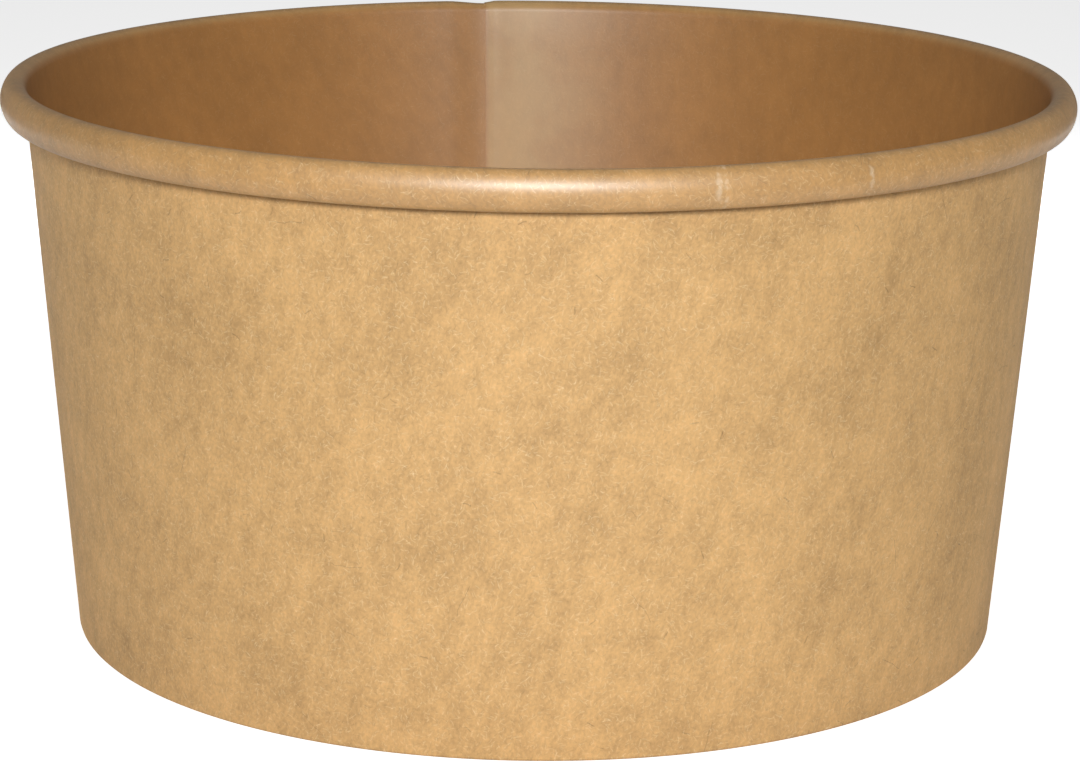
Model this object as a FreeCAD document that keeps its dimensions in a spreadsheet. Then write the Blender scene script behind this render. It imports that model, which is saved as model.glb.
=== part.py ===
import FreeCAD, Part
import math
import os

import Sketcher
from FreeCAD import Vector

# Paper ice cream tub: a wide, low tub of kraft board with a rolled rim.
# It is two blanks. The side wall is one sheet, wrapped and lapped in an upright seam at the back.
# Its top edge is rolled outward into the rim, and its bottom edge is folded inward and up.
# The base is a disc with a skirt that points down and sits in that fold.
# Lengths are in millimetres and angles in degrees. The origin is on the table, on the tub's axis, +Z up.

SIZES = (
    ("tub_height", 78.2, "top of the rim above the table"),
    ("foot_radius", 65.7, "outer face of the wall, carried down to the table"),
    ("mouth_radius", 71.8, "outer face of the wall, carried up to the top of the rim"),
    ("wall_board", 0.42, "thickness of the wall's board"),
    ("base_board", 0.42, "thickness of the base's board"),
    ("roll_radius", 1.88, "radius of the rim's top, on its coated face"),
    ("rim_side", 1.85, "length of the rim's upright outer side"),
    ("tuck_gap", 0.2, "gap between the wall and the edge tucked into the roll"),
    ("lap_gap", 0.06, "the same gap at the lap, where the roll is packed tighter"),
    ("tuck_length", 1.2, "length of the edge tucked into the roll"),
    ("fold_radius", 0.12, "inside radius of each bend of the bottom fold"),
    ("hem_height", 6.4, "top of the folded hem above the table"),
    ("seal_gap", 0.02, "gap on each side of the skirt in the fold"),
    ("recess_depth", 7.4, "underside of the base above the table"),
    ("base_bend", 0.3, "inside radius of the bend from the base to its skirt"),
    ("skirt_lift", 0.3, "gap between the skirt's lower edge and the fold's floor at the seam"),
    ("seam_angle", 97.0, "place of the inner raw edge, counted from +X towards +Y"),
    ("lap_angle", 7.4, "width of the lap"),
    ("ramp_angle", 5.0, "stretch in which the sheet climbs over its own inner edge"),
)

# Each bend is drawn as equal narrow flat bands whose corners lie on its arc, within 0.07 mm of the arc.
TOP_BANDS = 6
UNDER_BANDS = 6
FOLD_BANDS = 1
BASE_BANDS = 2

START, END, CENTRE = 1, 2, 3
ORIGIN = (-1, START)
UPRIGHT_AXIS = -2


def make_sheet(document):
    """The driving sizes, one row each: what it is, then its value under its name."""
    sheet = document.addObject("Spreadsheet::Sheet", "sizes")
    for row, (alias, value, meaning) in enumerate(SIZES, start=1):
        sheet.set(f"A{row}", meaning)
        sheet.set(f"B{row}", str(value))
        sheet.setAlias(f"B{row}", alias)
    document.recompute()
    return sheet


class Slope:
    """The wall's straight outer face in a section through the axis, where x is radius and y is height."""

    def __init__(self, sheet):
        self.foot = sheet.foot_radius
        self.angle = math.atan2(sheet.mouth_radius - sheet.foot_radius, sheet.tub_height)
        self.along = Vector(math.sin(self.angle), math.cos(self.angle), 0)
        self.outward = Vector(math.cos(self.angle), -math.sin(self.angle), 0)

    def at(self, height, offset):
        """The point at this height, and this far outside the face, measured square to it."""
        radius = self.foot + (height * math.sin(self.angle) + offset) / math.cos(self.angle)
        return Vector(radius, height, 0)


def draw_bend(sketch, centre, radius, first, last, bands):
    """A construction arc that runs anticlockwise between two angles in radians, and equal bands on it."""
    circle = Part.Circle(centre, Vector(0, 0, 1), radius)
    bend = sketch.addGeometry(Part.ArcOfCircle(circle, first, last), True)
    corners = [circle.value(first + (last - first) * step / bands) for step in range(bands + 1)]
    chords = [sketch.addGeometry(Part.LineSegment(*pair)) for pair in zip(corners, corners[1:])]
    sketch.addConstraint(Sketcher.Constraint("Coincident", chords[0], START, bend, START))
    sketch.addConstraint(Sketcher.Constraint("Coincident", chords[-1], END, bend, END))
    for before, after in zip(chords, chords[1:]):
        sketch.addConstraint(Sketcher.Constraint("Coincident", before, END, after, START))
        sketch.addConstraint(Sketcher.Constraint("PointOnObject", after, START, bend))
        sketch.addConstraint(Sketcher.Constraint("Equal", before, after))
    return bend


def drive(sketch, name, expression, *constraint):
    """Adds a constraint with a value, names it and binds it to the sheet."""
    index = sketch.addConstraint(Sketcher.Constraint(*constraint))
    sketch.renameConstraint(index, name)
    sketch.setExpression(f"Constraints.{name}", expression)


def draw_slope(sketch, sheet):
    """The wall's outer face as a construction line, from the table to the top of the rim."""
    foot, mouth, top = sheet.foot_radius, sheet.mouth_radius, sheet.tub_height
    line = sketch.addGeometry(Part.LineSegment(Vector(foot, 0, 0), Vector(mouth, top, 0)), True)
    sketch.addConstraint(Sketcher.Constraint("PointOnObject", line, START, -1))
    drive(sketch, "foot", "sizes.foot_radius", "DistanceX", *ORIGIN, line, START, foot)
    drive(sketch, "mouth", "sizes.mouth_radius", "DistanceX", *ORIGIN, line, END, mouth)
    drive(sketch, "top", "sizes.tub_height", "DistanceY", *ORIGIN, line, END, top)
    return line


def join(sketch, *ends):
    """Makes each pair of ends meet smoothly."""
    for first, first_end, second, second_end in ends:
        sketch.addConstraint(Sketcher.Constraint("Tangent", first, first_end, second, second_end))


def keep_parallel(sketch, line, slope, end, name, expression, distance):
    """Holds a line parallel to the wall's outer face, at a driven distance from it."""
    sketch.addConstraint(Sketcher.Constraint("Parallel", line, slope))
    drive(sketch, name, expression, "Distance", line, end, slope, distance)


def wall_line(document, sheet, name, layers, turn):
    """The coated face of the wall's sheet, in the section plane turned about the axis.

    It runs from the hem's raw edge down to the fold, up the wall, over the rolled rim and into its tuck.
    Where the sheet is lapped on itself there are two layers: the fold's floor is a board higher, and
    the tuck a board further out.
    """
    slope = Slope(sheet)
    board, bend, roll = sheet.wall_board, sheet.fold_radius, sheet.roll_radius
    pocket = sheet.base_board + 2 * sheet.seal_gap
    floor = layers * board
    tilt = slope.angle

    hem_bend = slope.at(floor + bend, bend - board - pocket)
    wall_bend = slope.at(floor + bend, -board - bend)
    roll_centre = slope.at(sheet.tub_height - roll, roll - board)
    side_radius = roll_centre.x + roll
    side_bottom = roll_centre.y - sheet.rim_side
    tuck_offset, tuck_place = sheet.tuck_gap, "sizes.tuck_gap"
    if layers == 2:
        tuck_offset, tuck_place = board + sheet.lap_gap, "sizes.wall_board + sizes.lap_gap"
    reach = (Vector(side_radius, side_bottom, 0) - slope.at(side_bottom, tuck_offset)).dot(slope.outward)
    under = reach / (1 + math.cos(tilt))
    under_centre = Vector(side_radius - under, side_bottom, 0)
    hem_foot = hem_bend - bend * slope.outward
    hem_top = slope.at(sheet.hem_height, -board - pocket)
    tuck_start = under_centre - under * slope.outward

    sketch = document.addObject("Sketcher::SketchObject", name)
    turned = f"rotation(vector(0; 0; 1); {turn}) * rotation(vector(1; 0; 0); 90)"
    sketch.setExpression("Placement", f"placement(vector(0; 0; 0); {turned})")
    face = draw_slope(sketch, sheet)
    hem = sketch.addGeometry(Part.LineSegment(hem_top, hem_foot))
    first_bend = draw_bend(sketch, hem_bend, bend, math.pi - tilt, 1.5 * math.pi, FOLD_BANDS)
    ground = sketch.addGeometry(
        Part.LineSegment(hem_bend - Vector(0, bend, 0), wall_bend - Vector(0, bend, 0))
    )
    second_bend = draw_bend(
        sketch, wall_bend, bend, 1.5 * math.pi, 2 * math.pi - tilt, FOLD_BANDS
    )
    wall = sketch.addGeometry(
        Part.LineSegment(wall_bend + bend * slope.outward, roll_centre - roll * slope.outward)
    )
    over = draw_bend(sketch, roll_centre, roll, 0, math.pi - tilt, TOP_BANDS)
    side = sketch.addGeometry(
        Part.LineSegment(roll_centre + Vector(roll, 0, 0), Vector(side_radius, side_bottom, 0))
    )
    below = draw_bend(sketch, under_centre, under, math.pi - tilt, 2 * math.pi, UNDER_BANDS)
    tuck = sketch.addGeometry(
        Part.LineSegment(tuck_start, tuck_start + sheet.tuck_length * slope.along)
    )

    join(
        sketch,
        (hem, END, first_bend, START),
        (first_bend, END, ground, START),
        (ground, END, second_bend, START),
        (second_bend, END, wall, START),
        (wall, END, over, END),
        (over, START, side, START),
        (side, END, below, END),
        (below, START, tuck, START),
    )
    sketch.addConstraint(Sketcher.Constraint("Horizontal", ground))
    sketch.addConstraint(Sketcher.Constraint("Vertical", side))
    sketch.addConstraint(Sketcher.Constraint("Equal", first_bend, second_bend))
    drive(sketch, "bend", "sizes.fold_radius", "Radius", first_bend, bend)
    drive(sketch, "floor", f"{layers} * sizes.wall_board", "DistanceY", *ORIGIN, ground, START, floor)
    drive(sketch, "roll", "sizes.roll_radius", "Radius", over, roll)
    drive(
        sketch,
        "roll_height",
        "sizes.tub_height - sizes.roll_radius",
        "DistanceY",
        *ORIGIN,
        over,
        CENTRE,
        roll_centre.y,
    )
    drive(sketch, "side_length", "sizes.rim_side", "Distance", side, sheet.rim_side)
    drive(sketch, "tuck_run", "sizes.tuck_length", "Distance", tuck, sheet.tuck_length)
    drive(
        sketch, "hem_top", "sizes.hem_height", "DistanceY", *ORIGIN, hem, START, sheet.hem_height
    )
    keep_parallel(sketch, wall, face, START, "wall_inset", "sizes.wall_board", board)
    keep_parallel(
        sketch,
        hem,
        face,
        START,
        "hem_inset",
        "sizes.wall_board + sizes.base_board + 2 * sizes.seal_gap",
        board + pocket,
    )
    keep_parallel(sketch, tuck, face, START, "tuck_outset", tuck_place, tuck_offset)
    return sketch


def base_line(document, sheet, name):
    """The coated face of the base's sheet, from the axis out across the disc and down the skirt."""
    slope = Slope(sheet)
    outside = sheet.base_bend + sheet.base_board
    top = sheet.recess_depth + sheet.base_board
    inset = sheet.wall_board + sheet.seal_gap
    bend_centre = slope.at(top - outside, -inset - outside)
    skirt_end = slope.at(2 * sheet.wall_board + sheet.skirt_lift, -inset)

    sketch = document.addObject("Sketcher::SketchObject", name)
    sketch.setExpression("Placement", "placement(vector(0; 0; 0); rotation(vector(1; 0; 0); 90))")
    face = draw_slope(sketch, sheet)
    disc = sketch.addGeometry(
        Part.LineSegment(Vector(0, top, 0), bend_centre + Vector(0, outside, 0))
    )
    bend = draw_bend(sketch, bend_centre, outside, -slope.angle, 0.5 * math.pi, BASE_BANDS)
    skirt = sketch.addGeometry(
        Part.LineSegment(bend_centre + outside * slope.outward, skirt_end)
    )

    join(sketch, (disc, END, bend, END), (bend, START, skirt, START))
    sketch.addConstraint(Sketcher.Constraint("PointOnObject", disc, START, UPRIGHT_AXIS))
    sketch.addConstraint(Sketcher.Constraint("Horizontal", disc))
    drive(
        sketch,
        "disc_height",
        "sizes.recess_depth + sizes.base_board",
        "DistanceY",
        *ORIGIN,
        disc,
        START,
        top,
    )
    drive(sketch, "bend", "sizes.base_bend + sizes.base_board", "Radius", bend, outside)
    drive(
        sketch,
        "skirt_end",
        "2 * sizes.wall_board + sizes.skirt_lift",
        "DistanceY",
        *ORIGIN,
        skirt,
        END,
        skirt_end.y,
    )
    keep_parallel(
        sketch, skirt, face, START, "skirt_inset", "sizes.wall_board + sizes.seal_gap", inset
    )
    return sketch


def thicken(document, name, line, thickness, filled=True):
    """The sheet's section: a line widened to one side, towards the bare face, by a board's thickness."""
    section = document.addObject("Part::Offset2D", name)
    section.Source = line
    section.setExpression("Value", thickness)
    section.Mode = "Skin"
    section.Join = "Intersection"
    section.Fill = filled
    return section


def revolve(document, name, section, angle, direction=1):
    """A section turned about the tub's axis."""
    turned = document.addObject("Part::Revolution", name)
    turned.Source = section
    turned.Axis = Vector(0, 0, direction)
    turned.setExpression("Angle", angle)
    turned.Solid = True
    return turned


def make_side_wall(document, sheet):
    """One sheet: a single layer most of the way round, a double one at the lap, and the ramp between."""
    ramp_start = "sizes.seam_angle + sizes.ramp_angle"
    single_line = wall_line(document, sheet, "single_line", 1, ramp_start)
    lapped_line = wall_line(document, sheet, "lapped_line", 2, "sizes.seam_angle")
    single = thicken(document, "single_section", single_line, "sizes.wall_board")
    inner = thicken(document, "inner_section", lapped_line, "sizes.wall_board")
    between = thicken(document, "between_layers", lapped_line, "sizes.wall_board", filled=False)
    outer = thicken(document, "outer_section", between, "sizes.wall_board")

    round_wall = revolve(
        document, "round_wall", single, "360 - sizes.lap_angle - sizes.ramp_angle"
    )
    inner_lap = revolve(document, "inner_lap", inner, "sizes.lap_angle", direction=-1)
    outer_lap = revolve(document, "outer_lap", outer, "sizes.lap_angle", direction=-1)
    ramp = document.addObject("Part::Loft", "ramp")
    ramp.Sections = [single, outer]
    ramp.Solid = True
    ramp.Ruled = True

    wall = document.addObject("Part::MultiFuse", "side_wall")
    wall.Shapes = [round_wall, inner_lap, outer_lap, ramp]
    wall.Refine = True
    wall.Label = "side_wall"
    return wall


def make_base_disc(document, sheet):
    """The base: a disc with a skirt that points down and follows the wall's slope."""
    line = base_line(document, sheet, "base_line")
    section = thicken(document, "base_section", line, "-sizes.base_board")
    base = revolve(document, "base_disc", section, "360")
    base.Label = "base_disc"
    return base


def check(document, pieces):
    """Stops at any object that failed, and at any piece that isn't one valid solid."""
    for item in document.Objects:
        if "Invalid" in item.State or "Error" in item.State:
            raise RuntimeError(f"{item.Label} failed: {item.State}")
    for piece in pieces:
        shape = piece.Shape
        if shape.isNull() or not shape.isValid() or len(shape.Solids) != 1:
            raise RuntimeError(f"{piece.Label} isn't one valid solid")


def main():
    document = FreeCAD.newDocument("ice_cream_tub")
    sheet = make_sheet(document)
    pieces = [make_side_wall(document, sheet), make_base_disc(document, sheet)]
    document.recompute()
    check(document, pieces)
    os.makedirs("parts", exist_ok=True)
    for piece in pieces:
        piece.Shape.exportStep(f"parts/{piece.Label}.step")
        box = piece.Shape.BoundBox
        print(piece.Label, round(piece.Shape.Volume, 1), "mm3", box)


main()
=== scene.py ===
"""The looks of a kraft paper ice cream tub: its two pieces of board, a pale floor, studio light and a camera.

The tub stands on the floor with its axis on Z, and its side seam is at the back. Each piece of board is
one closed sheet: a coated face with a soft gloss, a bare face of matte fibres, and raw cut edges.
"""

import math

import bpy
import numpy as np
from mathutils import Matrix, Vector


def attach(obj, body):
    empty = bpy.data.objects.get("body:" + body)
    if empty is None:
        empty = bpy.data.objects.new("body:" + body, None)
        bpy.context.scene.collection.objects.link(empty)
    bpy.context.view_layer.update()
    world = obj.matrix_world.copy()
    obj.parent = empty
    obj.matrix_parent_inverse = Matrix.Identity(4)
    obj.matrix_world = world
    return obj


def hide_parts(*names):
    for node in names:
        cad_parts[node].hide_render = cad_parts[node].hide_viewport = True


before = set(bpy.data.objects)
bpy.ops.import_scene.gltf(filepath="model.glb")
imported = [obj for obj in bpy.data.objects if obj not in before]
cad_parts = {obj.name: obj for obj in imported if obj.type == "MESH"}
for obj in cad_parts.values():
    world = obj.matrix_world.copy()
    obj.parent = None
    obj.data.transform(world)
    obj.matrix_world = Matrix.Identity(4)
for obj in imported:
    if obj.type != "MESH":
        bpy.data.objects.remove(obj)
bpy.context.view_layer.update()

# Sizes of the tub in millimetres, and angles in degrees. The rim is a hair inside the frame's box, and the
# mouth's radius is where the wall's outer face would be at the frame's own height.
MM = 0.001
TUB_HEIGHT = 78.19
FOOT_RADIUS = 65.7
MOUTH_RADIUS = 71.8
FRAME_HEIGHT = 78.2
BOARD = 0.42
RIM_RADIUS = 74.97
ROLL_RADIUS = 1.7
SIDE_BEND = 35.0
TUCK_GAP = 0.2
LAP_GAP = 0.06
TUCK_LENGTH = 1.2
FOLD_RADIUS = 0.12
HEM_HEIGHT = 6.4
SEAL_GAP = 0.02
RECESS_DEPTH = 7.4
BASE_BEND = 0.3
SKIRT_LIFT = 0.3
SEAM_ANGLE = 97.0
LAP_ANGLE = 7.4
RAMP_ANGLE = 5.0

# Fineness of the meshes: columns round the tub, steps along each leg of a section, and the angle in degrees
# from which an edge is shaded sharp.
KNURLS = 150
COLUMNS_PER_KNURL = 4
WALL_STEPS = (10, 6, 2, 6, 12, 16, 10, 14, 2)
BASE_COLUMNS = 300
BASE_STEPS = (24, 8, 4)
SHARP_ANGLE = 38.0

# Small departures from a perfect form, in millimetres.
KNURL_DEPTH = 0.1
ROUNDNESS = 0.12
RIM_WAVE = 0.1
BASE_SAG = 0.15
EDGE_PRESS = 0.7

# Marks on the coated face: how much its fibres, clouds and film show inside, how far in degrees of turn the
# painted sheen by the seam reaches, and the (turn, half width) in degrees of pale creases across the rim.
FIBRES_INSIDE = 0.25
CLOUDS_INSIDE = 0.65
COAT_INSIDE = 0.5
SEAM_SHEEN_TURN = 20.0
CREASES = ((169.3, 0.4), (170.1, 0.5), (153.8, 0.4))

# Softboxes: name, (azimuth, elevation) in degrees, distance and size in metres, watts, spread in degrees, the
# height in metres that each looks at, and whether a gloss shows it.
SOFTBOXES = (
    ("front", (0, 24), 0.61, (0.18, 0.11), 0.38, 62, 0.01, True),
    ("above", (180, 80), 0.7, (0.4, 0.3), 0.55, 180, 0.045, False),
    ("low_left", (-115, 0), 0.35, (0.5, 0.06), 0.5, 180, 0.045, False),
    ("low_right", (115, 0), 0.35, (0.5, 0.06), 0.47, 180, 0.045, False),
    ("low_behind", (180, 0), 0.35, (0.5, 0.06), 0.3, 180, 0.045, False),
)

# Light that isn't a softbox's: the studio's own, what more of it a gloss shows, and the floor's added white
# that only the camera sees. The floor reaches this many metres to each side.
STUDIO_FILL = 0.035
STUDIO_GLOSS = 0.13
FLOOR_GLOW = 0.74
FLOOR_REACH = 6.0

# The camera: its distance and its aim in millimetres, its angles in degrees, and its focal length in pixels
# of a picture this wide, which gives the lens on a sensor of this many millimetres.
CAMERA_DISTANCE = 490.0
CAMERA_AIM = (0.558, 0.0, 33.28)
CAMERA_ELEVATION = 14.25
CAMERA_ROLL = 0.593
FOCAL_PIXELS = 3411.0
PICTURE_WIDTH = 1080.0
SENSOR_WIDTH = 36.0

# Fibres, in millimetres: the cell of each layer of strands, a strand's length as a share of its cell, and its
# width; how far strands curl, and how often in each millimetre; hairs as (cell, length, width, rareness); and
# the sizes of the grain and of the clouds on the blank's two axes.
STRAND_CELLS = (0.6, 0.8, 1.1, 1.6)
STRAND_SHARE = 0.6
STRAND_WIDTH = 0.095
CURL = 0.5
CURL_SCALE = 0.7
HAIRS = ((5.0, 1.0, 0.13, 0.6), (12.0, 4.5, 0.08, 0.45))
GRAIN_SIZE = (0.42, 0.6)
MIDDLE_CLOUD = (2.2, 3.6)
WIDE_CLOUD = (13.0, 19.0)

# How strongly each of them changes the pulp's brightness, and cream strands its colour; the shares of the
# middle and the wide clouds; and how much the middle ones are raised beside the grain.
GRAIN_SHADE = 0.4
DARK_STRAND_SHADE = 0.2
HAIR_SHADE = 0.35
CLOUD_SHADE = 0.62
CREAM_SHARE = 0.31
CLOUD_SHARES = (0.75, 0.55)
RAISED_CLOUDS = 0.6

# Colours, linear: the pulp of each face, and what lightens it, one of them a painted sheen beside the seam.
BARE_PULP = (0.59, 0.360, 0.149)
INSIDE_PULP = (0.46, 0.216, 0.060)
RIM_PULP = (0.54, 0.300, 0.104)
EDGE_PULP = (0.56, 0.38, 0.21)
CREAM_STRAND = (0.86, 0.69, 0.42)
SEAM_SHEEN_COLOUR = (0.70, 0.48, 0.21)
CREASED_FILM = (0.86, 0.72, 0.52)

TILT = math.atan2(MOUTH_RADIUS - FOOT_RADIUS, FRAME_HEIGHT)
OUTWARD = np.array((math.cos(TILT), -math.sin(TILT)))


def on_slope(height, offset):
    """The point (radius, height) this far outside the wall's outer face.

    Its radius is the foot's + height * tan(tilt) + offset / cos(tilt).
    """
    return np.array((FOOT_RADIUS + (height * math.sin(TILT) + offset) / math.cos(TILT), height))


def walk(start, heading, legs):
    """A smooth section line walked from a start point. Each leg is (length, turn to the left, steps).

    A straight leg is start + distance * direction. A curved one has radius = length / turn, and its point
    is start + radius * (sin h - sin h0, cos h0 - cos h), with h the heading there and h0 at its start.
    Gives the points, the unit normals on the line's right, and each point's distance along the line.
    """
    points, headings, distances = [np.array([start])], [np.array([heading])], [np.zeros(1)]
    for length, turn, steps in legs:
        share = np.linspace(0, 1, steps + 1)[1:]
        first, there = points[-1][-1], heading + turn * share
        if turn:
            across = (np.sin(there) - math.sin(heading)) * length / turn
            up = (math.cos(heading) - np.cos(there)) * length / turn
        else:
            across, up = share * length * math.cos(heading), share * length * math.sin(heading)
        points.append(first + np.stack((across, up), -1))
        headings.append(there)
        distances.append(distances[-1][-1] + share * length)
        heading += turn
    points, headings, distances = map(np.concatenate, (points, headings, distances))
    return points, np.stack((np.sin(headings), -np.cos(headings)), -1), distances


def wall_section(layers):
    """The coated face of the wall's sheet in a section: hem, fold, wall, rolled rim and tuck.

    The rim has three arcs: over its top, down its side with a flatter bend, and back under it to the wall.
    Where the sheet is lapped it has two layers, so the fold's floor is a board higher and the tuck a board
    farther out.
    """
    pocket = BOARD + 2 * SEAL_GAP
    bend_height = layers * BOARD + FOLD_RADIUS
    hem_top = on_slope(HEM_HEIGHT, -BOARD - pocket)
    hem_bend = on_slope(bend_height, FOLD_RADIUS - BOARD - pocket)
    wall_bend = on_slope(bend_height, -BOARD - FOLD_RADIUS)
    roll_centre = on_slope(TUB_HEIGHT - ROLL_RADIUS, ROLL_RADIUS - BOARD)
    quarter, half, side_bend = math.pi / 2, math.pi, math.radians(SIDE_BEND)
    side_top = roll_centre + ROLL_RADIUS * np.array((math.cos(side_bend), math.sin(side_bend)))
    side_radius = (RIM_RADIUS - side_top[0]) / (1 - math.cos(side_bend))
    side_bottom = side_top - (0, 2 * side_radius * math.sin(side_bend))
    tuck_offset = TUCK_GAP if layers == 1 else BOARD + LAP_GAP
    reach = (side_bottom - on_slope(side_bottom[1], tuck_offset)) @ OUTWARD
    under_radius = reach / (math.cos(TILT + side_bend) + 1)
    lengths_and_turns = (
        (np.linalg.norm(hem_top - hem_bend + FOLD_RADIUS * OUTWARD), 0),
        (FOLD_RADIUS * (quarter + TILT), quarter + TILT),
        (wall_bend[0] - hem_bend[0], 0),
        (FOLD_RADIUS * (quarter - TILT), quarter - TILT),
        (np.linalg.norm(roll_centre - wall_bend - (ROLL_RADIUS + FOLD_RADIUS) * OUTWARD), 0),
        (ROLL_RADIUS * (half - TILT - side_bend), TILT + side_bend - half),
        (side_radius * 2 * side_bend, -2 * side_bend),
        (under_radius * (half + TILT - side_bend), side_bend - half - TILT),
        (TUCK_LENGTH, 0),
    )
    legs = [(*leg, steps) for leg, steps in zip(lengths_and_turns, WALL_STEPS)]
    return walk(hem_top, -quarter - TILT, legs)


def smooth(value, low, high):
    """0 below low, 1 above high, and t * t * (3 - 2 * t) between them."""
    t = np.clip((value - low) / (high - low), 0, 1)
    return t * t * (3 - 2 * t)


def wall_sheet(turn, face):
    """The side wall's sheet as a surface of two parameters, on its coated face (0) or its bare face (1).

    One parameter is the turn in degrees from the inner raw edge, clockwise seen from above, up to one turn
    and a lap. The other is the distance along the section. The place is the section's point plus a board's
    thickness along its normal for each layer below it, spun about the axis. Near the end of the turn the
    sheet climbs on to its own beginning, whose edge is pressed thin. On the blank, which is a sector of a
    ring, a place is at (r * sin a, r * cos a), with a = turn * sin(tilt) and r from the cone's tip.
    Gives the places, the blank's coordinates and the distances.
    """
    single, normals, along = wall_section(1)
    lapped = wall_section(2)[0]
    turn = turn[:, None]
    lap_start, ramp_start = LAP_ANGLE, 360 - RAMP_ANGLE
    climb = smooth(turn, ramp_start, 360)
    doubled = 1 - smooth(turn, lap_start, lap_start + RAMP_ANGLE / 2) + climb
    pressed = EDGE_PRESS * (1 - face) * (1 - smooth(turn, -0.2, 1.6))
    shift = BOARD * (climb + face + pressed)
    radius = single[:, 0] + doubled * (lapped - single)[:, 0] + shift * normals[:, 0]
    height = single[:, 1] + doubled * (lapped - single)[:, 1] + shift * normals[:, 1]

    angle = np.radians(SEAM_ANGLE - turn)
    top = np.clip(height / TUB_HEIGHT, 0, 1)
    radius = radius - ROUNDNESS * top**2 * (2 + np.sin(2 * angle + 0.7) + 0.8 * np.sin(3 * angle + 2.1)) / 4
    height = height - RIM_WAVE * top**20 * (1 + np.sin(2 * angle + 2.6) * np.cos(3 * angle)) / 2
    if face:
        hem = smooth(along, 0.3, 1.2) * (1 - smooth(along, 4.6, 5.6))
        radius = radius + hem * KNURL_DEPTH * (1 + np.cos(KNURLS * angle)) / 2
    places = np.stack((radius * np.cos(angle), radius * np.sin(angle), height), -1)

    fold_length = along[sum(WALL_STEPS[:4])]
    sector = (FOOT_RADIUS - BOARD) / math.sin(TILT) + along - fold_length
    spread = np.radians(turn) * math.sin(TILT)
    blank = np.stack((sector * np.sin(spread), sector * np.cos(spread) - sector[0]), -1)
    return places, blank, along


def sheet_faces(columns, rows):
    """Quads of a grid whose point number is column * rows + row, turned from column towards row."""
    column, row = np.meshgrid(np.arange(columns - 1), np.arange(rows - 1), indexing="ij")
    corner = (column * rows + row).ravel()
    return np.stack((corner, corner + rows, corner + rows + 1, corner + 1), -1)


def put_mesh(name, points, faces, slots, maps, materials):
    """An object at the origin with these points in millimetres, its faces, their material slots and its maps.

    maps has a flat map for the fibres and values for each point. Edges sharper than SHARP_ANGLE stay sharp.
    """
    mesh = bpy.data.meshes.new(name)
    mesh.from_pydata((points * MM).tolist(), [], faces)
    mesh.polygons.foreach_set("material_index", np.asarray(slots, np.int32))
    corners = np.empty(len(mesh.loops), np.int32)
    mesh.loops.foreach_get("vertex_index", corners)
    flat = mesh.uv_layers.new(name="blank")
    flat.data.foreach_set("uv", (maps["blank"][corners] * MM).astype(np.float32).ravel())
    for key in maps.keys() - {"blank"}:
        field = mesh.attributes.new(key, "FLOAT", "POINT")
        field.data.foreach_set("value", maps[key].astype(np.float32))
    for material in materials:
        mesh.materials.append(material)
    mesh.shade_smooth()
    mesh.set_sharp_from_angle(angle=math.radians(SHARP_ANGLE))
    mesh.validate()
    piece = bpy.data.objects.new(name, mesh)
    bpy.context.scene.collection.objects.link(piece)
    return piece


def make_wall(materials):
    """The wrapped side wall: coated and bare grids, closed by strips of raw edge all round the sheet.

    The upright raw edge inside has the coated face's material, as the coating melted over it there. The bare
    grid has every second row of the coated one, so each piece of an upright raw edge has five corners.
    """
    steps = round(KNURLS * COLUMNS_PER_KNURL * (360 + LAP_ANGLE) / 360)
    turn = np.union1d(np.linspace(0, 360 + LAP_ANGLE, steps + 1), (0.15, 0.3, 0.9))
    columns = len(turn)
    coated, coated_blank, along = wall_sheet(turn, 0)
    bare, bare_blank, _ = wall_sheet(turn, 1)
    bare, bare_blank = bare[:, ::2], bare_blank[:, ::2]
    rows, bare_rows = coated.shape[1], bare.shape[1]
    start = columns * rows

    inside = sheet_faces(columns, rows)
    outside = sheet_faces(columns, bare_rows)[:, ::-1] + start
    column = np.arange(columns - 1)
    strips = []
    for row, bare_row, order in ((0, 0, 1), (rows - 1, bare_rows - 1, -1)):
        near, far = column * rows + row, start + column * bare_rows + bare_row
        strips.append(np.stack((near, far, far + bare_rows, near + rows), -1)[:, ::order])
    step = np.arange(bare_rows - 1)
    ends = []
    for column, order in ((0, 1), (columns - 1, -1)):
        near, far = column * rows + 2 * step, start + column * bare_rows + step
        ends.append(np.stack((near, near + 1, near + 2, far + 1, far), -1)[:, ::order])
    faces = [*inside.tolist(), *outside.tolist()]
    for strip in (*strips, *ends):
        faces += strip.tolist()
    slots = np.full(len(faces), 2)
    slots[: len(inside)] = 0
    slots[len(inside) : len(inside) + len(outside)] = 1
    slots[-2 * len(step) : -len(step)] = 0

    def spread(value):
        """A value of each column and row, for the coated points and then the bare ones."""
        return np.concatenate((value.ravel(), value[:, ::2].ravel()))

    roll_start = along[sum(WALL_STEPS[:5])]
    rolled = smooth(along, roll_start, roll_start + ROLL_RADIUS * math.pi / 2)
    maps = {
        "blank": np.concatenate((coated_blank.reshape(-1, 2), bare_blank.reshape(-1, 2))),
        "turn": spread(np.broadcast_to(turn[:, None], (columns, rows))),
        "rolled": spread(np.broadcast_to(rolled, (columns, rows))),
    }
    points = np.concatenate((coated.reshape(-1, 3), bare.reshape(-1, 3)))
    return put_mesh("wrapped_wall", points, faces, slots, maps, materials)


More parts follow.
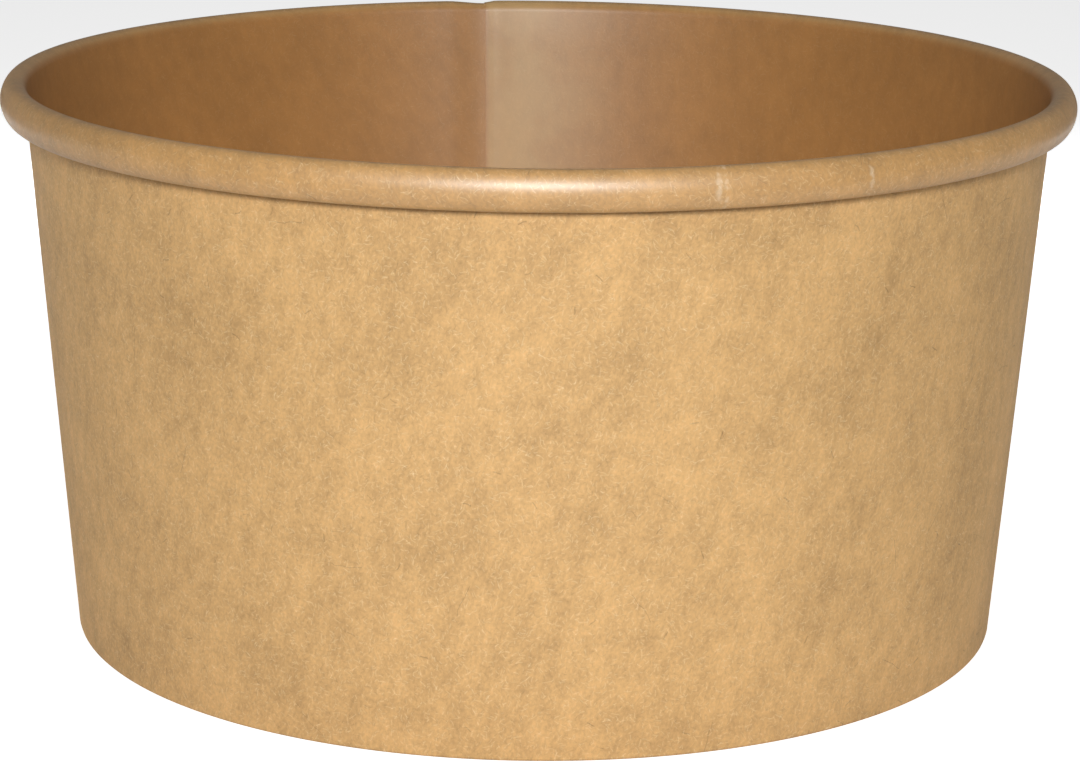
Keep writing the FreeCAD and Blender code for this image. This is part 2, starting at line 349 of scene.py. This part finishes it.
def make_base(materials):
    """The base: a disc whose skirt points down, as a surface of an angle and a distance from its centre.

    Its section is walked outward across the disc, round the bend and down the skirt, and spun about the axis.
    The middle sinks by a small sag that fades as 1 - (radius / disc radius) squared.
    """
    outside = BASE_BEND + BOARD
    top = RECESS_DEPTH + BOARD
    inset = BOARD + SEAL_GAP
    bend_centre = on_slope(top - outside, -inset - outside)
    skirt_end = on_slope(2 * BOARD + SKIRT_LIFT, -inset)
    skirt = np.linalg.norm(bend_centre + outside * OUTWARD - skirt_end)
    bend = math.pi / 2 + TILT
    lengths_and_turns = ((bend_centre[0], 0), (outside * bend, -bend), (skirt, 0))
    legs = [(*leg, steps) for leg, steps in zip(lengths_and_turns, BASE_STEPS)]
    section, normals, along = walk(np.array((0, top)), 0, legs)
    angle = np.radians(np.arange(BASE_COLUMNS) * 360 / BASE_COLUMNS)[:, None]
    sag = BASE_SAG * np.clip(1 - (section[:, 0] / bend_centre[0]) ** 2, 0, 1)
    rows = len(section) - 1
    points, blanks = [], []
    for face in (0, 1):
        radius, height = (section + face * BOARD * normals).T
        height = height - sag
        heights = np.broadcast_to(height, (BASE_COLUMNS, rows + 1))
        ring = np.stack((radius * np.cos(angle), radius * np.sin(angle), heights), -1)
        points += [ring[:1, 0], ring[:, 1:].reshape(-1, 3)]
        flat = np.stack((along * np.cos(angle), along * np.sin(angle)), -1)
        blanks += [flat[:1, 0], flat[:, 1:].reshape(-1, 2)]

    column = np.arange(BASE_COLUMNS)
    following = (column + 1) % BASE_COLUMNS
    row = np.arange(rows - 1)
    here = (column[:, None] * rows + row).ravel()
    there = (following[:, None] * rows + row).ravel()
    ring_faces = np.stack((here, here + 1, there + 1, there), -1)
    under = 1 + BASE_COLUMNS * rows
    last, last_there = column * rows + rows - 1, following * rows + rows - 1
    fan = np.stack((np.zeros(BASE_COLUMNS, int), 1 + column * rows, 1 + following * rows), -1)
    upper = [*fan.tolist(), *(ring_faces + 1).tolist()]
    lower = [*(fan + under)[:, ::-1].tolist(), *(ring_faces + 1 + under)[:, ::-1].tolist()]
    edge = np.stack((1 + last, 1 + under + last, 1 + under + last_there, 1 + last_there), -1).tolist()
    slots = [0] * len(upper) + [1] * len(lower) + [2] * len(edge)
    points = np.concatenate(points)
    maps = {
        "blank": np.concatenate(blanks),
        "turn": np.full(len(points), 180.0),
        "rolled": np.zeros(len(points)),
    }
    return put_mesh("pressed_base", points, upper + lower + edge, slots, maps, materials)


class Nodes:
    """Short ways to add and join the nodes of one tree."""

    def __init__(self, tree):
        self.tree = tree

    def add(self, kind, inputs=(), **settings):
        """A node of this kind with its settings. Each input is set to a value or linked to an output."""
        node = self.tree.nodes.new(kind)
        for key, value in settings.items():
            setattr(node, key, value)
        for socket, value in dict(inputs).items():
            self.feed(node.inputs[socket], value)
        return node

    def feed(self, socket, value):
        """Links an output to a socket, or sets the socket's own value."""
        if isinstance(value, bpy.types.NodeSocket):
            self.tree.links.new(value, socket)
        else:
            socket.default_value = value

    def math(self, operation, first, second=0.0, third=0.0):
        """A Math node's output."""
        inputs = {0: first, 1: second, 2: third}
        return self.add("ShaderNodeMath", inputs, operation=operation).outputs[0]

    def vector(self, operation, first, second=(0.0, 0.0, 0.0), third=(0.0, 0.0, 0.0), scale=1.0):
        """A Vector Math node's vector, or its length."""
        inputs = {0: first, 1: second, 2: third, 3: scale}
        node = self.add("ShaderNodeVectorMath", inputs, operation=operation)
        return node.outputs["Value" if operation == "LENGTH" else "Vector"]

    def value_of(self, attribute):
        """The value that each point of the mesh has under this name."""
        return self.add("ShaderNodeAttribute", attribute_name=attribute).outputs["Fac"]

    def noise(self, vector, scale=1.0, detail=2.0, roughness=0.5, colour=False):
        """A flat noise's value or colour."""
        inputs = {"Vector": vector, "Scale": scale, "Detail": detail, "Roughness": roughness}
        node = self.add("ShaderNodeTexNoise", inputs, noise_dimensions="2D")
        return node.outputs["Color" if colour else "Fac"]

    def lay(self, vector, size, shift=(0.0, 0.0)):
        """The vector less a shift, divided by a size along each of its axes."""
        inputs = {"Vector": vector, "Location": (*shift, 0), "Scale": (*size, 1)}
        return self.add("ShaderNodeMapping", inputs, vector_type="TEXTURE").outputs[0]

    def ease(self, value, low, high, first=0.0, last=1.0):
        """A smooth step from first at low to last at high."""
        inputs = {"Value": value, "From Min": low, "From Max": high, "To Min": first, "To Max": last}
        return self.add("ShaderNodeMapRange", inputs, interpolation_type="SMOOTHSTEP").outputs[0]

    def mix(self, factor, first, second):
        """Two colours mixed."""
        inputs = {"Factor": factor, 6: first, 7: second}
        return self.add("ShaderNodeMix", inputs, data_type="RGBA").outputs[2]


def new_group(name, inputs, outputs):
    """An empty shader node group: inputs are (name, kind, value), outputs are (name, kind)."""
    group = bpy.data.node_groups.new(name, "ShaderNodeTree")
    for label, kind, value in inputs:
        socket = group.interface.new_socket(label, in_out="INPUT", socket_type=kind)
        if value is not None:
            socket.default_value = value
    for label, kind in outputs:
        group.interface.new_socket(label, in_out="OUTPUT", socket_type=kind)
    nodes = Nodes(group)
    return group, nodes, nodes.add("NodeGroupInput").outputs, nodes.add("NodeGroupOutput").inputs


def strand_layer(nodes, place, cell, length, width, shift):
    """One short bent strand in each cell of a random net, in millimetres. Gives the line and its chance.

    The place is taken from the cell's own point and turned by the cell's own angle, which gives x and y. The
    line fades to its width on both sides of y + bend * x * x = 0, while x is within half the length.
    """
    laid = nodes.lay(place, (cell, cell), shift)
    net = nodes.add("ShaderNodeTexVoronoi", {"Vector": laid, "Scale": 1.0}, voronoi_dimensions="2D")
    local = nodes.vector("SUBTRACT", laid, net.outputs["Position"])
    chance = nodes.add("ShaderNodeSeparateColor", {0: net.outputs["Color"]}).outputs
    angle = nodes.math("MULTIPLY", chance[0], 2 * math.pi)
    turned = nodes.add("ShaderNodeVectorRotate", {"Vector": local, "Angle": angle}, rotation_type="Z_AXIS")
    x, y, _ = nodes.add("ShaderNodeSeparateXYZ", {0: turned.outputs[0]}).outputs
    bend = nodes.math("MULTIPLY", nodes.math("SUBTRACT", chance[1], 0.5), nodes.math("MULTIPLY", x, 1.6))
    aside = nodes.math("MULTIPLY_ADD", bend, x, y)
    beyond = nodes.math("MAXIMUM", nodes.math("SUBTRACT", nodes.math("ABSOLUTE", x), length / 2 / cell), 0.0)
    distance = nodes.vector("LENGTH", nodes.add("ShaderNodeCombineXYZ", {0: beyond, 1: aside}).outputs[0])
    return nodes.ease(distance, 0.0, width / cell, 1.0, 0.0), chance[2]


def make_fibre_group():
    """Kraft fibres on a flat map in metres: strands (dark -1, pale 1), grain, clouds, hairs and relief."""
    group, nodes, given, out = new_group(
        "kraft_fibres",
        (("Place", "NodeSocketVector", None),),
        tuple((name, "NodeSocketFloat") for name in ("Strands", "Grain", "Clouds", "Hairs", "Relief")),
    )
    place = nodes.vector("SCALE", given["Place"], scale=1000.0)
    curl = nodes.vector("SUBTRACT", nodes.noise(place, CURL_SCALE, 1.0, colour=True), (0.5, 0.5, 0.5))
    curled = nodes.vector("MULTIPLY_ADD", curl, (CURL, CURL, 0.0), place)

    strands = None
    for number, cell in enumerate(STRAND_CELLS):
        shift = (3.1 * number, 1.7 * number)
        line, chance = strand_layer(nodes, curled, cell, cell * STRAND_SHARE, STRAND_WIDTH, shift)
        tone = nodes.math("SUBTRACT", nodes.ease(chance, 0.4, 1.0), nodes.ease(chance, 0.0, 0.35, 0.6, 0.0))
        tone = nodes.math("MULTIPLY", line, tone)
        strands = tone if strands is None else nodes.math("ADD", strands, tone)

    hairs = None
    for cell, length, width, rare in HAIRS:
        line, chance = strand_layer(nodes, curled, cell, length, width, (cell, 5.0))
        hair = nodes.math("MULTIPLY", line, nodes.ease(chance, rare, 1.0))
        hairs = hair if hairs is None else nodes.math("MAXIMUM", hairs, hair)

    grain = nodes.noise(nodes.lay(place, GRAIN_SIZE, (5.0, 3.0)), 1.0, 2.0, 0.6)
    middle = nodes.noise(nodes.lay(place, MIDDLE_CLOUD), 1.0, 3.0, 0.6)
    wide = nodes.noise(nodes.lay(place, WIDE_CLOUD, (2.0, 9.0)), 1.0, 1.0, 0.5)
    clouds = nodes.math("MULTIPLY", middle, CLOUD_SHARES[0])
    clouds = nodes.math("MULTIPLY_ADD", wide, CLOUD_SHARES[1], clouds)
    relief = nodes.math("MULTIPLY_ADD", middle, RAISED_CLOUDS, grain)
    values = {"Strands": strands, "Grain": grain, "Clouds": clouds, "Hairs": hairs, "Relief": relief}
    for name, value in values.items():
        nodes.feed(out[name], value)
    return group


def make_pulp_group(fibres):
    """The colour of kraft pulp from its fibres: a clouded brown with cream and dark strands, and hairs."""
    group, nodes, given, out = new_group(
        "kraft_pulp",
        (
            ("Place", "NodeSocketVector", None),
            ("Pulp", "NodeSocketColor", None),
            ("Fibres", "NodeSocketFloat", 1.0),
            ("Clouds", "NodeSocketFloat", 1.0),
        ),
        (("Color", "NodeSocketColor"), ("Relief", "NodeSocketFloat")),
    )
    field = nodes.add("ShaderNodeGroup", node_tree=fibres)
    nodes.feed(field.inputs["Place"], given["Place"])
    dark = nodes.math("MINIMUM", field.outputs["Strands"], 0.0)
    fine = nodes.math("MULTIPLY", nodes.math("SUBTRACT", field.outputs["Grain"], 0.5), GRAIN_SHADE)
    fine = nodes.math("MULTIPLY_ADD", dark, DARK_STRAND_SHADE, fine)
    fine = nodes.math("MULTIPLY_ADD", field.outputs["Hairs"], -HAIR_SHADE, fine)
    fine = nodes.math("MULTIPLY", fine, given["Fibres"])
    middling = sum(CLOUD_SHARES) / 2
    cloudy = nodes.math("MULTIPLY", nodes.math("SUBTRACT", field.outputs["Clouds"], middling), CLOUD_SHADE)
    value = nodes.math("ADD", nodes.math("MULTIPLY_ADD", cloudy, given["Clouds"], fine), 1.0)
    cream = nodes.math("MULTIPLY", nodes.math("MAXIMUM", field.outputs["Strands"], 0.0), given["Fibres"])
    cream = nodes.math("MULTIPLY", cream, CREAM_SHARE)
    board = nodes.vector("SCALE", given["Pulp"], scale=value)
    nodes.feed(out["Color"], nodes.mix(cream, board, (*CREAM_STRAND, 1)))
    nodes.feed(out["Relief"], field.outputs["Relief"])
    return group


def start_material(name, pulp, colour, fibres=1.0):
    """A material whose pulp lies on the piece's own flat map, its nodes, its pulp and its shader."""
    material = bpy.data.materials.new(name)
    material.use_nodes = True
    material.node_tree.nodes.clear()
    nodes = Nodes(material.node_tree)
    board = nodes.add("ShaderNodeGroup", node_tree=pulp)
    nodes.feed(board.inputs["Place"], nodes.add("ShaderNodeUVMap", uv_map="blank").outputs[0])
    nodes.feed(board.inputs["Pulp"], (*colour, 1))
    nodes.feed(board.inputs["Fibres"], fibres)
    shader = nodes.add("ShaderNodeBsdfPrincipled")
    output = nodes.add("ShaderNodeOutputMaterial")
    nodes.feed(output.inputs["Surface"], shader.outputs[0])
    return material, nodes, board, shader


def add_relief(nodes, shader, height, depth, strength):
    """Bumps on the surface, this deep in metres."""
    inputs = {"Height": height, "Distance": depth, "Strength": strength}
    bump = nodes.add("ShaderNodeBump", inputs)
    nodes.feed(shader.inputs["Normal"], bump.outputs[0])


def make_bare_kraft(pulp):
    """The matte outside: open, rough fibres."""
    material, nodes, board, shader = start_material("bare_kraft", pulp, BARE_PULP)
    nodes.feed(shader.inputs["Base Color"], board.outputs["Color"])
    shader.inputs["Roughness"].default_value = 0.62
    shader.inputs["Specular IOR Level"].default_value = 0.4
    add_relief(nodes, shader, board.outputs["Relief"], 0.00005, 0.5)
    return material


def make_coated_kraft(pulp):
    """The coated face, inside and on the rim: fibres under a thin clear film with a soft gloss.

    The curl of the rim is scuffed, so its fibres show more, and it has pale creases. Next to the seam's inner
    edge, a pale and patchy band of painted sheen lightens the colour.
    """
    material, nodes, board, shader = start_material("coated_kraft", pulp, INSIDE_PULP)
    turn, rolled = nodes.value_of("turn"), nodes.value_of("rolled")
    on_rim = nodes.ease(rolled, 0.0, 0.6)
    nodes.feed(board.inputs["Pulp"], nodes.mix(on_rim, (*INSIDE_PULP, 1), (*RIM_PULP, 1)))
    nodes.feed(board.inputs["Fibres"], nodes.ease(rolled, 0.3, 1.0, FIBRES_INSIDE, 1.0))
    nodes.feed(board.inputs["Clouds"], nodes.ease(rolled, 0.3, 1.0, CLOUDS_INSIDE, 1.0))
    place = nodes.add("ShaderNodeUVMap", uv_map="blank").outputs[0]
    # Painted sheen: a pale, patchy band just past the seam's inner edge that fades out over some degrees of
    # turn.
    patchy = nodes.ease(nodes.noise(place, 110.0), 0.3, 0.62, 0.6, 1.0)
    seam_sheen = nodes.math("MULTIPLY", nodes.ease(turn, 4.0, SEAM_SHEEN_TURN, 1.0, 0.0), patchy)
    seam_sheen = nodes.math("MULTIPLY", nodes.math("MULTIPLY", seam_sheen, nodes.ease(turn, -0.2, 0.7)), 0.45)
    colour = nodes.mix(seam_sheen, board.outputs["Color"], (*SEAM_SHEEN_COLOUR, 1))
    ragged = nodes.math("MULTIPLY_ADD", nodes.noise(place, 1600.0), 0.5, -0.25)
    aside = nodes.math("ADD", turn, ragged)
    creases = None
    for place_of_crease, width in CREASES:
        distance = nodes.math("ABSOLUTE", nodes.math("SUBTRACT", aside, place_of_crease))
        crease = nodes.ease(distance, 0.0, width, 1.0, 0.0)
        creases = crease if creases is None else nodes.math("MAXIMUM", creases, crease)
    patches = nodes.math("MULTIPLY", nodes.ease(nodes.noise(place, 700.0), 0.4, 0.65), 0.36)
    worn = nodes.math("MULTIPLY", nodes.math("MULTIPLY", creases, rolled), patches)
    nodes.feed(shader.inputs["Base Color"], nodes.mix(worn, colour, (*CREASED_FILM, 1)))
    shader.inputs["Roughness"].default_value = 0.55
    shader.inputs["Specular IOR Level"].default_value = 0.6
    nodes.feed(shader.inputs["Coat Weight"], nodes.ease(rolled, 0.0, 0.6, COAT_INSIDE, 1.0))
    shader.inputs["Coat Roughness"].default_value = 0.43
    shader.inputs["Coat IOR"].default_value = 1.68
    add_relief(nodes, shader, board.outputs["Relief"], 0.00004, 0.5)
    return material


def make_cut_edge(pulp):
    """The raw edge of the board, paler and rougher than its faces, with fibres torn by the knife."""
    material, nodes, board, shader = start_material("cut_edge", pulp, EDGE_PULP, 1.2)
    nodes.feed(shader.inputs["Base Color"], board.outputs["Color"])
    shader.inputs["Roughness"].default_value = 0.85
    add_relief(nodes, shader, board.outputs["Relief"], 0.00008, 0.7)
    return material


def make_floor():
    """A plain pale floor, wide enough to fill the view."""
    material = bpy.data.materials.new("pale_floor")
    material.use_nodes = True
    shader = material.node_tree.nodes["Principled BSDF"]
    shader.inputs["Base Color"].default_value = (0.8, 0.8, 0.8, 1)
    shader.inputs["Roughness"].default_value = 0.9
    shader.inputs["Specular IOR Level"].default_value = 0.1
    nodes = Nodes(material.node_tree)
    seen = nodes.add("ShaderNodeLightPath").outputs["Is Camera Ray"]
    shader.inputs["Emission Color"].default_value = (1.0, 1.0, 1.0, 1)
    nodes.feed(shader.inputs["Emission Strength"], nodes.math("MULTIPLY", seen, FLOOR_GLOW))
    mesh = bpy.data.meshes.new("floor")
    corners = [(x * FLOOR_REACH, y * FLOOR_REACH, 0) for x, y in ((-1, -1), (1, -1), (1, 1), (-1, 1))]
    mesh.from_pydata(corners, [], [(0, 1, 2, 3)])
    mesh.materials.append(material)
    floor = bpy.data.objects.new("floor", mesh)
    bpy.context.scene.collection.objects.link(floor)


def aim(place, target):
    """A matrix at a place whose -Z looks at the target, with its Y up."""
    ahead = (Vector(target) - Vector(place)).normalized()
    right = ahead.cross(Vector((0, 0, 1))).normalized()
    up = right.cross(ahead)
    turned = Matrix((right, up, -ahead)).transposed().to_4x4()
    return Matrix.Translation(place) @ turned


def add_softbox(name, azimuth, elevation, distance, size, power, spread, aimed_height):
    """A soft light that looks at the tub's axis. Azimuth 0 is in front and 90 on the right."""
    light = bpy.data.lights.new(name, "AREA")
    light.shape = "RECTANGLE"
    light.size, light.size_y = size
    light.energy = power
    light.spread = math.radians(spread)
    lamp = bpy.data.objects.new(name, light)
    turn, rise = math.radians(azimuth), math.radians(elevation)
    way = Vector((math.sin(turn) * math.cos(rise), -math.cos(turn) * math.cos(rise), math.sin(rise)))
    target = Vector((0, 0, aimed_height))
    lamp.matrix_world = aim(target + way * distance, target)
    lamp.visible_camera = False
    bpy.context.scene.collection.objects.link(lamp)
    return lamp


def light_scene():
    """A compact softbox in front, a soft one above, and long low panels at the sides and behind.

    The panels are lower than the rim, so they don't light the inside. Of the lamps a gloss shows the front
    softbox alone, and only the camera sees the studio as white.
    """
    for name, (azimuth, elevation), distance, size, power, spread, aimed_height, shows in SOFTBOXES:
        lamp = add_softbox(name, azimuth, elevation, distance, size, power, spread, aimed_height)
        lamp.visible_glossy = shows
    world = bpy.data.worlds.new("studio")
    world.use_nodes = True
    nodes = Nodes(world.node_tree)
    background = world.node_tree.nodes["Background"]
    path = nodes.add("ShaderNodeLightPath").outputs
    unseen = nodes.math("MULTIPLY_ADD", path["Is Glossy Ray"], STUDIO_GLOSS, STUDIO_FILL)
    nodes.feed(background.inputs["Color"], (1.0, 1.0, 1.0, 1))
    nodes.feed(background.inputs["Strength"], nodes.math("MAXIMUM", path["Is Camera Ray"], unseen))
    bpy.context.scene.world = world
    bpy.context.scene.view_settings.view_transform = "Standard"


def add_camera():
    """The photograph's view: close, a little above the rim, turned by half a degree.

    It stands in front of the tub's axis and looks a little aside of it.
    """
    elevation = math.radians(CAMERA_ELEVATION)
    target = Vector(CAMERA_AIM) * MM
    back, up = CAMERA_DISTANCE * math.cos(elevation), CAMERA_DISTANCE * math.sin(elevation)
    place = Vector((0, -back, CAMERA_AIM[2] + up)) * MM
    camera = bpy.data.cameras.new("camera")
    camera.sensor_fit = "HORIZONTAL"
    camera.sensor_width = SENSOR_WIDTH
    camera.lens = FOCAL_PIXELS / PICTURE_WIDTH * SENSOR_WIDTH
    camera.clip_start, camera.clip_end = 0.01, 50
    view = bpy.data.objects.new("camera", camera)
    view.matrix_world = aim(place, target) @ Matrix.Rotation(math.radians(CAMERA_ROLL), 4, "Z")
    bpy.context.scene.collection.objects.link(view)
    bpy.context.scene.camera = view


add_camera()
light_scene()
make_floor()

pulp = make_pulp_group(make_fibre_group())
boards = [make_coated_kraft(pulp), make_bare_kraft(pulp), make_cut_edge(pulp)]
wall = make_wall(boards)
base = make_base(boards)
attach(wall, "root")
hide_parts("side_wall")
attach(base, "root")
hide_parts("base_disc")
